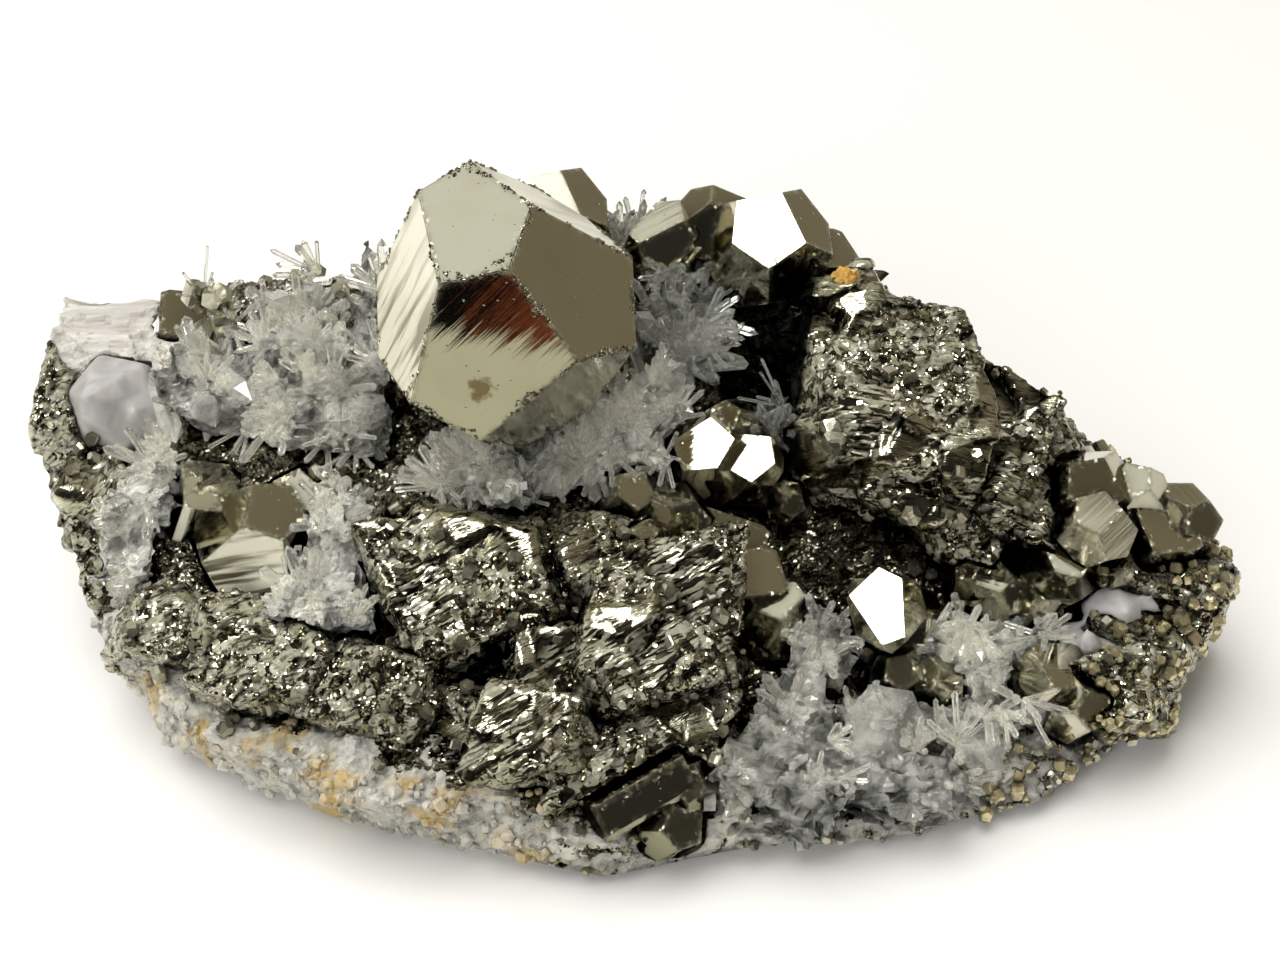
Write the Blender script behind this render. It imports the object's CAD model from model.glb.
"""Pyrite and quartz specimen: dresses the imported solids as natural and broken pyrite, sprays of
quartz needles and weathered rock, and sets up a pale studio.

Shapes are worked out in millimetres in the specimen's own frame, and become metres when a mesh
is made. A laid-out place is counted from the middle of the slab of rock.
"""
import math
import random

import bmesh
import bpy
import numpy as np
from mathutils import Euler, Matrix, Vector, noise
from mathutils.bvhtree import BVHTree


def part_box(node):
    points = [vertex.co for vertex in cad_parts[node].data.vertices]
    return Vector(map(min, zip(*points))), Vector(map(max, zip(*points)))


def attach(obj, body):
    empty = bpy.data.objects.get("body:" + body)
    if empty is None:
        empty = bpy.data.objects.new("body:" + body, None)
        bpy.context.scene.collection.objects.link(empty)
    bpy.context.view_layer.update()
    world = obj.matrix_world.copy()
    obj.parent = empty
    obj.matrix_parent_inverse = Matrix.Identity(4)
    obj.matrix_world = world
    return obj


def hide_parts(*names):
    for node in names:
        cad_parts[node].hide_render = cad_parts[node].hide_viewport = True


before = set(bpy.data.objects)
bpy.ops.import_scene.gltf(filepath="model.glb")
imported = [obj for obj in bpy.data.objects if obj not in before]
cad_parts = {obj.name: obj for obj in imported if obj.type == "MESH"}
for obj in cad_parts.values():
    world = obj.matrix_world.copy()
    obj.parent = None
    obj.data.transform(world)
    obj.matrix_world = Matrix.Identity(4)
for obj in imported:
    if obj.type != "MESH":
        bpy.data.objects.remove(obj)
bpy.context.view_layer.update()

bl_info = {
    "name": "Pyrite and quartz specimen",
    "version": (1, 0, 0),
    "blender": (4, 5, 0),
    "location": "3D View > Sidebar > Specimen",
    "description": "Dresses the specimen's solids in pyrite, quartz and rock, and lights them",
    "category": "Object",
}

MM = 0.001
# Moves a laid-out place into the frame.
LAYOUT = np.array((2.23, 5.37, 0.0))
# Laid-out places: where the camera stands, and what it is aimed at.
VIEWPOINT = np.array((0.0, -217.11, 202.18))
CAMERA_TARGET = (0, 0, 20)
# Two faces that meet at a smaller angle than the first are one face of a crystal; at a larger
# one than the second they meet in an edge.
SAME_FACE = math.radians(1)
CRYSTAL_EDGE = math.radians(20)
# The least cosine between a face's normal and the way that a front or a crusted face looks.
FRONT_FACING = 0.93
CRUST_FACING = 0.96
# Each needle of a spray is turned by this much from the one before, so that they fill a cone.
GOLDEN_ANGLE = math.radians(137.5)
# How strongly quartz bends light.
QUARTZ_IOR = 1.544
# Spacing of the nets that the bases of the sprays and the milky crystals are drawn on.
BASE_NET = 0.6 * MM
MILKY_NET = 0.5 * MM

CRYSTALS = (
    "pyrite_crystal_large", "pyrite_crystals_back", "pyrite_crystals_left",
    "pyrite_crystals_top", "pyrite_crystals_pocket", "pyrite_crystals_centre",
    "pyrite_blocks_centre", "pyrite_crystals_right_pocket", "pyrite_crystals_cream_right",
    "pyrite_crystals_right_end", "pyrite_crystals_front", "pyrite_crystals_front_right",
    "pyrite_crystals_upper_left",
)
# Massive pyrite: the direction across its plates, how far it is granular (more) or platy (less),
# and how far it has smooth cleaved planes.
BREAKS = {
    "massive_pyrite_far_left": ((-0.7, 0.1, 0.7), 0.10, 0.6),
    "massive_pyrite_left": ((-0.2, 0.4, 0.8), 0.2, 0.6),
    "massive_pyrite_centre": ((-0.45, 0.8, 0.4), 0.02, 1.0),
    "massive_pyrite_right": ((0.15, 0.93, 0.3), -0.06, 0.5),
}
CLEAR_QUARTZ = (
    "quartz_cluster_left", "quartz_column_left", "quartz_patch", "quartz_cluster_centre",
    "quartz_cluster_upper", "quartz_cluster_back", "quartz_cluster_pocket",
    "quartz_cluster_right", "quartz_mass_front",
)
# What the reliefs write on the meshes of massive pyrite and of rock, for their materials.
BREAK_MARKS = ("granular", "planed", "hollow")
ROCK_MARKS = ("pyrite_share", "iron_stain", "hollow", "vug")


def linear(code):
    """A colour written as sRGB hex, turned to the linear values that a shader takes."""
    shares = [int(code[i:i + 2], 16) / 255 for i in (1, 3, 5)]
    return [s / 12.92 if s <= 0.04045 else ((s + 0.055) / 1.055) ** 2.4 for s in shares]


# ------------------------------------------------------------------ sizes and colours

def length_property(name, description, usual, least):
    """A length for the panel, from millimetres."""
    return bpy.props.FloatProperty(name=name, description=description, default=usual * MM,
                                   min=least * MM, unit="LENGTH")


def colour_property(name, description, code):
    """A mineral's colour for the panel, from sRGB hex."""
    return bpy.props.FloatVectorProperty(name=name, description=description, subtype="COLOR",
                                         default=linear(code), min=0, max=1)


class SpecimenSizes(bpy.types.PropertyGroup):
    """How fine the growths and the broken surfaces are."""
    rock_net: length_property(
        "Rock net", "Spacing of the net that the rock's relief is drawn on", 0.7, 0.4)
    pyrite_net: length_property(
        "Massive pyrite net", "Spacing of the net for broken massive pyrite", 0.55, 0.3)
    grain: length_property("Pyrite grain", "Width of a grain in massive pyrite", 1.2, 0.3)
    needle_width: length_property("Needle width", "Width of a quartz needle", 0.9, 0.3)
    needle_length: length_property(
        "Needle length", "Length of a needle in a small spray", 5.5, 1)
    worn_edge: length_property(
        "Worn edge", "Width of the flat worn along a crystal's edges", 0.12, 0.02)


class SpecimenColours(bpy.types.PropertyGroup):
    """The minerals' own colours."""
    pyrite: colour_property("Pyrite", "Fresh crystal face", "#D8D4BE")
    golden: colour_property("Golden pyrite", "Fine granular pyrite along the rim", "#E6D8AC")
    tarnish: colour_property("Tarnish", "Dull film in the hollows", "#4E4A38")
    quartz: colour_property("Quartz", "Clear needle quartz", "#F0EEE4")
    milky: colour_property("Milky quartz", "Cloudy quartz with a lilac cast", "#D2CFC9")
    fibrous: colour_property("Fibrous quartz", "Silky pinkish-white quartz", "#D6D2C9")
    rock: colour_property("Rock", "Grey siliceous rock", "#CFCCC0")
    rock_cream: colour_property("Cream rock", "Weathered patches of the rock", "#EAE3CC")
    iron_stain: colour_property("Iron stain", "Ochre stain along the lower edge", "#E2C684")


# ------------------------------------------------------------------ materials

def add(tree, kind, inputs=None, **settings):
    """Adds a node, sets its own settings, and gives its inputs a value or a link."""
    node = tree.nodes.new(kind)
    for setting, value in settings.items():
        setattr(node, setting, value)
    for socket, value in (inputs or {}).items():
        if isinstance(value, bpy.types.NodeSocket):
            tree.links.new(value, node.inputs[socket])
        else:
            node.inputs[socket].default_value = value
    return node


def new_material(name, **shader_inputs):
    """A material with one Principled shader on its surface."""
    material = bpy.data.materials.new(name)
    material.use_nodes = True
    tree = material.node_tree
    tree.nodes.clear()
    shader = add(tree, "ShaderNodeBsdfPrincipled")
    for socket, value in shader_inputs.items():
        shader.inputs[socket.replace("_", " ")].default_value = value
    add(tree, "ShaderNodeOutputMaterial", {"Surface": shader.outputs[0]})
    return material, tree, shader


def grain_tilt(tree, place, normal, width, strength):
    """Turns the normal by a fixed random slant inside each cell: flat grains that catch the light."""
    cells = add(tree, "ShaderNodeTexVoronoi", {"Vector": place, "Scale": 1 / width})
    centred = add(tree, "ShaderNodeVectorMath", {0: cells.outputs["Color"], 1: (0.5, 0.5, 0.5)},
                  operation="SUBTRACT")
    slant = add(tree, "ShaderNodeVectorMath", {0: centred.outputs[0], "Scale": strength},
                operation="SCALE")
    turned = add(tree, "ShaderNodeVectorMath", {0: normal, 1: slant.outputs[0]}, operation="ADD")
    return cells, add(tree, "ShaderNodeVectorMath", {0: turned.outputs[0]},
                      operation="NORMALIZE").outputs[0]


def recess(tree, reach, deep, open_air):
    """How shut in a place is: 1 at the bottom of a crack or a vug, 0 where it lies open."""
    air = add(tree, "ShaderNodeAmbientOcclusion", {"Distance": reach}, samples=1)
    return add(tree, "ShaderNodeMapRange", {
        "Value": air.outputs["AO"], "From Min": deep, "From Max": open_air,
        "To Min": 1.0, "To Max": 0.0}).outputs[0]


def crystal_face_pyrite(colours, stain_place):
    """Pyrite, natural crystal faces: a pale brass mirror ruled with growth lines, its edges
    rubbed to fine grains. The lines break up what the faces reflect."""
    material, tree, shader = new_material("pyrite_natural_crystal_face")
    place = add(tree, "ShaderNodeTexCoord").outputs["Object"]
    ruled = add(tree, "ShaderNodeUVMap", uv_map="growth_lines").outputs["UV"]
    # Growth lines are 0.3 to 2 mm wide and run most of the way over a face.
    wide = add(tree, "ShaderNodeMapping", {"Vector": ruled, "Scale": (0.05, 0.55, 1)})
    fine = add(tree, "ShaderNodeMapping", {"Vector": ruled, "Scale": (0.12, 3.2, 1)})
    wide_lines = add(tree, "ShaderNodeTexNoise", {
        "Vector": wide.outputs[0], "Scale": 1.0, "Detail": 2.0}, noise_dimensions="2D")
    fine_lines = add(tree, "ShaderNodeTexNoise", {
        "Vector": fine.outputs[0], "Scale": 1.0, "Detail": 3.0}, noise_dimensions="2D")
    lines = add(tree, "ShaderNodeMix", {
        "Factor": 0.22, 2: wide_lines.outputs[0], 3: fine_lines.outputs[0]}, data_type="FLOAT")
    waves = add(tree, "ShaderNodeBump", {
        "Strength": 1.0, "Distance": 0.026 * MM, "Height": lines.outputs[0]})
    # Pits of 0.3 mm, sparsely spread.
    pits = add(tree, "ShaderNodeTexVoronoi", {"Vector": place, "Scale": 1 / (1.7 * MM)})
    pit = add(tree, "ShaderNodeMapRange", {
        "Value": pits.outputs["Distance"], "From Min": 0.03, "From Max": 0.10,
        "To Min": 0.0, "To Max": 1.0})
    pitted = add(tree, "ShaderNodeBump", {
        "Strength": 0.5, "Distance": 0.04 * MM, "Height": pit.outputs[0],
        "Normal": waves.outputs[0]})
    # Worn edges: where the rounded normal leaves the flat one, broken up by noise.
    flat = add(tree, "ShaderNodeNewGeometry").outputs["True Normal"]
    rounded_edge = add(tree, "ShaderNodeBevel", {"Radius": 1.5 * MM}, samples=2)
    agree = add(tree, "ShaderNodeVectorMath", {0: rounded_edge.outputs[0], 1: flat},
                operation="DOT_PRODUCT")
    breakup = add(tree, "ShaderNodeTexNoise", {
        "Vector": place, "Scale": 1 / (1.3 * MM), "Detail": 3.0})
    limit = add(tree, "ShaderNodeMapRange", {
        "Value": breakup.outputs[0], "From Min": 0.42, "From Max": 0.66,
        "To Min": 0.75, "To Max": 0.998})
    worn = add(tree, "ShaderNodeMath", {0: agree.outputs["Value"], 1: limit.outputs[0]},
               operation="LESS_THAN")
    _, grain_normal = grain_tilt(tree, place, flat, 0.45 * MM, 1.3)
    normal = add(tree, "ShaderNodeMix", {
        "Factor": worn.outputs[0], 4: pitted.outputs[0], 5: grain_normal}, data_type="VECTOR")
    cloud = add(tree, "ShaderNodeTexNoise", {
        "Vector": place, "Scale": 1 / (7 * MM), "Detail": 4.0})
    film = add(tree, "ShaderNodeMapRange", {
        "Value": cloud.outputs[0], "From Min": 0.45, "From Max": 0.8,
        "To Min": 0.0, "To Max": 0.35})
    colour = add(tree, "ShaderNodeMix", {
        "Factor": film.outputs[0], 6: (*colours.pyrite, 1), 7: (*linear("#C4BB98"), 1)},
        data_type="RGBA")
    # One brown spot of iron stain, ragged and about 3 mm wide.
    away = add(tree, "ShaderNodeVectorMath", {0: place, 1: stain_place}, operation="DISTANCE")
    ragged = add(tree, "ShaderNodeMath", {
        0: breakup.outputs[0], 1: 5 * MM, 2: away.outputs["Value"]}, operation="MULTIPLY_ADD")
    stain = add(tree, "ShaderNodeMapRange", {
        "Value": ragged.outputs[0], "From Min": 3.4 * MM, "From Max": 4.3 * MM,
        "To Min": 0.8, "To Max": 0.0})
    stained = add(tree, "ShaderNodeMix", {
        "Factor": stain.outputs[0], 6: colour.outputs[2], 7: (*linear("#7A6238"), 1)},
        data_type="RGBA")
    # A few faces carry a thin pale crust of fine quartz, scratched along the growth lines.
    crusted = add(tree, "ShaderNodeAttribute", attribute_name="crusted").outputs["Fac"]
    gaps = add(tree, "ShaderNodeMapRange", {
        "Value": lines.outputs[0], "From Min": 0.40, "From Max": 0.52})
    crust = add(tree, "ShaderNodeMath", {0: crusted, 1: gaps.outputs[0]}, operation="MULTIPLY")
    # Dark film where the crystals stand in the vugs.
    shut_in = recess(tree, 5 * MM, 0.15, 0.6)
    filmed = add(tree, "ShaderNodeMix", {
        "Factor": shut_in, 6: stained.outputs[2], 7: (*linear("#1E1A10"), 1)},
        data_type="RGBA")
    dusted = add(tree, "ShaderNodeMix", {
        "Factor": crust.outputs[0], 6: filmed.outputs[2], 7: (*linear("#E4DFC8"), 1)},
        data_type="RGBA")
    metal = add(tree, "ShaderNodeMath", {0: 1.0, 1: crust.outputs[0]}, operation="SUBTRACT")
    rubbed = add(tree, "ShaderNodeMath", {0: worn.outputs[0], 1: crusted}, operation="MAXIMUM")
    roughness = add(tree, "ShaderNodeMapRange", {
        "Value": rubbed.outputs[0], "To Min": 0.035, "To Max": 0.3})
    tree.links.new(dusted.outputs[2], shader.inputs["Base Color"])
    tree.links.new(metal.outputs[0], shader.inputs["Metallic"])
    tree.links.new(roughness.outputs[0], shader.inputs["Roughness"])
    tree.links.new(normal.outputs[1], shader.inputs["Normal"])
    return material


def granular_pyrite(name, fresh, tarnish, grain, tilt, metal):
    """Pyrite, small grown crystals: each grain a flat mirror at its own slant, pale brass in
    the open and brown to black down in the cracks. Fine dust dulls what metal leaves over."""
    material, tree, shader = new_material(name, Metallic=metal)
    place = add(tree, "ShaderNodeTexCoord").outputs["Object"]
    flat = add(tree, "ShaderNodeNewGeometry").outputs["Normal"]
    _, normal = grain_tilt(tree, place, flat, grain, tilt)
    small, normal = grain_tilt(tree, place, normal, grain / 3, tilt * 0.6)
    patch = add(tree, "ShaderNodeTexNoise", {
        "Vector": place, "Scale": 1 / (3 * MM), "Detail": 3.0})
    patchy = add(tree, "ShaderNodeMapRange", {
        "Value": patch.outputs[0], "From Min": 0.45, "From Max": 0.68,
        "To Min": 0.0, "To Max": 0.6})
    both = add(tree, "ShaderNodeMath", {0: patchy.outputs[0], 1: recess(tree, 4 * MM, 0.2, 0.7)},
               operation="MAXIMUM")
    colour = add(tree, "ShaderNodeMix", {
        "Factor": both.outputs[0], 6: (*fresh, 1), 7: (*tarnish, 1)}, data_type="RGBA")
    shine = add(tree, "ShaderNodeSeparateColor", {"Color": small.outputs["Color"]})
    roughness = add(tree, "ShaderNodeMapRange", {
        "Value": shine.outputs[0], "To Min": 0.08, "To Max": 0.35})
    tree.links.new(colour.outputs[2], shader.inputs["Base Color"])
    tree.links.new(roughness.outputs[0], shader.inputs["Roughness"])
    tree.links.new(normal, shader.inputs["Normal"])
    return material


def massive_pyrite(name, colours, grain, across_plates):
    """Massive pyrite, broken: thin wavy plates that step back one behind another, smooth cleaved
    planes, and beds of fine grains. Each plate and grain is a small mirror with its own slant, so
    most of them are dark and a few flash."""
    material, tree, shader = new_material(name)
    place = add(tree, "ShaderNodeTexCoord").outputs["Object"]
    surface = add(tree, "ShaderNodeNewGeometry").outputs["Normal"]
    granular, planed, hollow = (
        add(tree, "ShaderNodeAttribute", attribute_name=mark).outputs["Fac"] for mark in BREAK_MARKS)
    wavy = add(tree, "ShaderNodeTexNoise", {
        "Vector": place, "Scale": 1 / (4 * MM), "Detail": 3.0})
    shift = add(tree, "ShaderNodeVectorMath", {0: wavy.outputs["Color"], "Scale": 1.3 * MM},
                operation="SCALE")
    bent = add(tree, "ShaderNodeVectorMath", {0: place, 1: shift.outputs[0]}, operation="ADD")
    # Plates 2.6 mm long and 0.4 mm thick lie in banks 7 mm long and 1.6 mm thick.
    turn = across_plates.to_track_quat("Z", "Y").to_euler()
    laid = add(tree, "ShaderNodeMapping", {
        "Vector": bent.outputs[0], "Rotation": turn, "Scale": (2.6 * MM, 2.6 * MM, 0.4 * MM)},
        vector_type="TEXTURE")
    wide = add(tree, "ShaderNodeMapping", {
        "Vector": bent.outputs[0], "Rotation": turn, "Scale": (7 * MM, 7 * MM, 1.6 * MM)},
        vector_type="TEXTURE")
    _, bank_normal = grain_tilt(tree, wide.outputs[0], surface, 1.0, 0.3)
    plates, plate_normal = grain_tilt(tree, laid.outputs[0], bank_normal, 1.0, 0.6)
    # Grains, in beds: two sizes, at steep slants.
    coarse, grain_normal = grain_tilt(tree, bent.outputs[0], surface, grain, 0.75)
    small, grain_normal = grain_tilt(tree, bent.outputs[0], grain_normal, grain / 3, 0.75)
    rough_normal = add(tree, "ShaderNodeMix", {
        "Factor": granular, 4: plate_normal, 5: grain_normal}, data_type="VECTOR")
    # Cleaved planes: nearly flat, with feathery hatching.
    feathers = add(tree, "ShaderNodeTexNoise", {
        "Vector": laid.outputs[0], "Scale": 1.3, "Detail": 2.0, "Distortion": 1.2})
    hatched = add(tree, "ShaderNodeBump", {
        "Strength": 1.0, "Distance": 0.05 * MM, "Height": feathers.outputs[0],
        "Normal": surface})
    _, plane_normal = grain_tilt(tree, bent.outputs[0], hatched.outputs[0], 2.6 * MM, 0.2)
    normal = add(tree, "ShaderNodeMix", {
        "Factor": planed, 4: rough_normal.outputs[1], 5: plane_normal}, data_type="VECTOR")
    # Dark film in thin uneven streaks between the plates and down in the cracks.
    streaks = add(tree, "ShaderNodeTexNoise", {
        "Vector": laid.outputs[0], "Scale": 0.8, "Detail": 3.0, "Roughness": 0.6})
    crack = add(tree, "ShaderNodeMapRange", {
        "Value": streaks.outputs[0], "From Min": 0.36, "From Max": 0.46,
        "To Min": 0.9, "To Max": 0.0})
    film = add(tree, "ShaderNodeMapRange", {
        "Value": hollow, "From Min": 0.5, "From Max": 0.9, "To Min": 0.0, "To Max": 1.0})
    dark = add(tree, "ShaderNodeMath", {0: film.outputs[0], 1: crack.outputs[0]},
               operation="MAXIMUM")
    darker = add(tree, "ShaderNodeMath", {0: dark.outputs[0], 1: recess(tree, 5 * MM, 0.15, 0.6)},
                 operation="MAXIMUM")
    patch = add(tree, "ShaderNodeTexNoise", {
        "Vector": place, "Scale": 1 / (3 * MM), "Detail": 4.0})
    tone = add(tree, "ShaderNodeMapRange", {
        "Value": patch.outputs[0], "From Min": 0.40, "From Max": 0.65})
    brass = add(tree, "ShaderNodeMix", {
        "Factor": tone.outputs[0], 6: (*colours.pyrite, 1), 7: (*linear("#AFAC91"), 1)},
        data_type="RGBA")
    colour = add(tree, "ShaderNodeMix", {
        "Factor": darker.outputs[0], 6: brass.outputs[2], 7: (*linear("#15140F"), 1)},
        data_type="RGBA")
    # Plates and grains here and there are dull and cream, under a thin film of quartz.
    by_cell = add(tree, "ShaderNodeMix", {
        "Factor": granular, 6: plates.outputs["Color"], 7: coarse.outputs["Color"]},
        data_type="RGBA")
    one_tone = add(tree, "ShaderNodeSeparateColor", {"Color": by_cell.outputs[2]})
    drift = add(tree, "ShaderNodeMath", {
        0: patch.outputs[0], 1: 0.8, 2: one_tone.outputs[1]}, operation="MULTIPLY_ADD")
    dusty = add(tree, "ShaderNodeMapRange", {
        "Value": drift.outputs[0], "From Min": 0.94, "From Max": 1.0,
        "To Min": 1.0, "To Max": 0.4})
    shine = add(tree, "ShaderNodeSeparateColor", {"Color": small.outputs["Color"]})
    roughness = add(tree, "ShaderNodeMapRange", {
        "Value": shine.outputs[0], "To Min": 0.03, "To Max": 0.2})
    metal = add(tree, "ShaderNodeMath", {0: dusty.outputs[0], 1: planed}, operation="MAXIMUM")
    tree.links.new(metal.outputs[0], shader.inputs["Metallic"])
    tree.links.new(colour.outputs[2], shader.inputs["Base Color"])
    tree.links.new(roughness.outputs[0], shader.inputs["Roughness"])
    tree.links.new(normal.outputs[1], shader.inputs["Normal"])
    return material


def rock_with_pyrite(colours, grain):
    """Siliceous rock, broken and weathered: grey to cream and matt, ochre where iron has run
    down it, and full of granular pyrite towards the top and the right."""
    material, tree, shader = new_material("siliceous_rock_broken")
    place = add(tree, "ShaderNodeTexCoord").outputs["Object"]
    flat = add(tree, "ShaderNodeNewGeometry").outputs["Normal"]
    share, stain, hollow, vug = (
        add(tree, "ShaderNodeAttribute", attribute_name=mark).outputs["Fac"] for mark in ROCK_MARKS)
    # Pyrite grains: 0.5 to 3 mm specks whose edges are sharp.
    specks = add(tree, "ShaderNodeTexNoise", {
        "Vector": place, "Scale": 1 / (2.2 * MM), "Detail": 5.0, "Roughness": 0.65})
    level = add(tree, "ShaderNodeMath", {0: 1.0, 1: share}, operation="SUBTRACT")
    over = add(tree, "ShaderNodeMath", {0: specks.outputs[0], 1: level.outputs[0]},
               operation="SUBTRACT")
    metal = add(tree, "ShaderNodeMapRange", {
        "Value": over.outputs[0], "From Min": -0.02, "From Max": 0.02})
    _, normal = grain_tilt(tree, place, flat, grain, 0.9)
    _, fine_normal = grain_tilt(tree, place, normal, grain / 3, 0.7)
    # Rock: mottled in patches of about 4 mm.
    mottle = add(tree, "ShaderNodeTexNoise", {
        "Vector": place, "Scale": 1 / (4 * MM), "Detail": 7.0, "Roughness": 0.7})
    tone = add(tree, "ShaderNodeValToRGB", {"Fac": mottle.outputs[0]})
    ramp = tone.color_ramp
    ramp.elements[0].position = 0.36
    ramp.elements[0].color = (*linear("#A3A3A0"), 1)
    ramp.elements[1].position = 0.64
    ramp.elements[1].color = (*colours.rock_cream, 1)
    middle = ramp.elements.new(0.46)
    middle.color = (*colours.rock, 1)
    pale = ramp.elements.new(0.55)
    pale.color = (*linear("#E2E0D6"), 1)
    ochre = add(tree, "ShaderNodeTexNoise", {
        "Vector": place, "Scale": 1 / (1.6 * MM), "Detail": 4.0, "Roughness": 0.65})
    rusty = add(tree, "ShaderNodeMix", {
        "Factor": ochre.outputs[0], 6: (*linear("#CBA75C"), 1), 7: (*colours.iron_stain, 1)},
        data_type="RGBA")
    broken_up = add(tree, "ShaderNodeMapRange", {
        "Value": ochre.outputs[0], "From Min": 0.35, "From Max": 0.6,
        "To Min": 0.15, "To Max": 1.0})
    strength = add(tree, "ShaderNodeMath", {0: stain, 1: broken_up.outputs[0]},
                   operation="MULTIPLY")
    stained = add(tree, "ShaderNodeMix", {
        "Factor": strength.outputs[0], 6: tone.outputs[0], 7: rusty.outputs[2]},
        data_type="RGBA")
    brass = add(tree, "ShaderNodeMix", {
        "Factor": hollow, 6: (*colours.pyrite, 1), 7: (*colours.tarnish, 1)}, data_type="RGBA")
    mixed = add(tree, "ShaderNodeMix", {
        "Factor": metal.outputs[0], 6: stained.outputs[2], 7: brass.outputs[2]},
        data_type="RGBA")
    # The pockets between the crystals are black with fine dirt.
    shut_in = recess(tree, 7 * MM, 0.3, 0.8)
    black = add(tree, "ShaderNodeMath", {0: shut_in, 1: share}, operation="MULTIPLY")
    black_share = add(tree, "ShaderNodeMapRange", {
        "Value": black.outputs[0], "From Min": 0.1, "From Max": 0.45})
    blackest = add(tree, "ShaderNodeMath", {0: black_share.outputs[0], 1: vug},
                   operation="MAXIMUM")
    colour = add(tree, "ShaderNodeMix", {
        "Factor": blackest.outputs[0], 6: mixed.outputs[2], 7: (*linear("#0C0B08"), 1)},
        data_type="RGBA")
    sugar = add(tree, "ShaderNodeTexNoise", {
        "Vector": place, "Scale": 1 / (0.7 * MM), "Detail": 5.0, "Roughness": 0.75})
    _, sugar_normal = grain_tilt(tree, place, flat, 0.9 * MM, 0.9)
    crumb = add(tree, "ShaderNodeBump", {
        "Strength": 1.0, "Distance": 0.5 * MM, "Height": sugar.outputs[0],
        "Normal": sugar_normal})
    slant = add(tree, "ShaderNodeMix", {
        "Factor": metal.outputs[0], 4: crumb.outputs[0], 5: fine_normal}, data_type="VECTOR")
    roughness = add(tree, "ShaderNodeMapRange", {
        "Value": metal.outputs[0], "To Min": 0.5, "To Max": 0.2})
    tree.links.new(colour.outputs[2], shader.inputs["Base Color"])
    tree.links.new(metal.outputs[0], shader.inputs["Metallic"])
    tree.links.new(roughness.outputs[0], shader.inputs["Roughness"])
    tree.links.new(slant.outputs[1], shader.inputs["Normal"])
    return material


def clear_quartz(name, tint, see_through, roughness):
    """Quartz, needle crystals as grown: glass-clear prisms that fine flaws inside turn whitish."""
    material, tree, shader = new_material(
        name, IOR=QUARTZ_IOR, Transmission_Weight=see_through, Roughness=roughness)
    place = add(tree, "ShaderNodeTexCoord").outputs["Object"]
    flaws = add(tree, "ShaderNodeTexNoise", {
        "Vector": place, "Scale": 1 / (1.5 * MM), "Detail": 3.0})
    veil = add(tree, "ShaderNodeMapRange", {
        "Value": flaws.outputs[0], "From Min": 0.4, "From Max": 0.7,
        "To Min": 0.0, "To Max": 0.6})
    colour = add(tree, "ShaderNodeMix", {
        "Factor": veil.outputs[0], 6: (*tint, 1), 7: (*linear("#DCDDD9"), 1)},
        data_type="RGBA")
    ripple = add(tree, "ShaderNodeBump", {
        "Strength": 0.3, "Distance": 0.08 * MM, "Height": flaws.outputs[0]})
    tree.links.new(colour.outputs[2], shader.inputs["Base Color"])
    tree.links.new(ripple.outputs[0], shader.inputs["Normal"])
    return material


def sugary_quartz(name, tint, grey):
    """Quartz, grown-together base of the sprays: white to grey, cloudy, with wet-looking facets,
    darker down between the crystals."""
    material, tree, shader = new_material(
        name, IOR=QUARTZ_IOR, Transmission_Weight=0.12, Roughness=0.2)
    place = add(tree, "ShaderNodeTexCoord").outputs["Object"]
    flat = add(tree, "ShaderNodeNewGeometry").outputs["Normal"]
    _, normal = grain_tilt(tree, place, flat, 1.1 * MM, 0.8)
    cloud = add(tree, "ShaderNodeTexNoise", {
        "Vector": place, "Scale": 1 / (3.5 * MM), "Detail": 5.0, "Roughness": 0.6})
    share = add(tree, "ShaderNodeMapRange", {
        "Value": cloud.outputs[0], "From Min": 0.38, "From Max": 0.62})
    colour = add(tree, "ShaderNodeMix", {
        "Factor": share.outputs[0], 6: (*grey, 1), 7: (*tint, 1)}, data_type="RGBA")
    shaded = add(tree, "ShaderNodeMix", {
        "Factor": recess(tree, 3 * MM, 0.1, 0.6), 6: colour.outputs[2],
        7: (*linear("#35352F"), 1)}, data_type="RGBA")
    tree.links.new(shaded.outputs[2], shader.inputs["Base Color"])
    tree.links.new(normal, shader.inputs["Normal"])
    return material


def milky_quartz(colours):
    """Quartz, milky crystal: cloudy white with a lilac cast, lit from inside, satin faces."""
    material, tree, shader = new_material(
        "quartz_milky_crystal", IOR=QUARTZ_IOR, Transmission_Weight=0.15, Roughness=0.3,
        Subsurface_Weight=0.6, Subsurface_Scale=2.5 * MM)
    shader.inputs["Subsurface Radius"].default_value = (1.0, 1.0, 0.97)
    place = add(tree, "ShaderNodeTexCoord").outputs["Object"]
    cloud = add(tree, "ShaderNodeTexNoise", {
        "Vector": place, "Scale": 1 / (3 * MM), "Detail": 5.0, "Distortion": 0.6})
    share = add(tree, "ShaderNodeMapRange", {
        "Value": cloud.outputs[0], "From Min": 0.3, "From Max": 0.7})
    colour = add(tree, "ShaderNodeMix", {
        "Factor": share.outputs[0], 6: (*linear("#ADAAAB"), 1), 7: (*colours.milky, 1)},
        data_type="RGBA")
    pits = add(tree, "ShaderNodeBump", {
        "Strength": 0.35, "Distance": 0.1 * MM, "Height": cloud.outputs[0]})
    tree.links.new(colour.outputs[2], shader.inputs["Base Color"])
    tree.links.new(pits.outputs[0], shader.inputs["Normal"])
    return material


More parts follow.
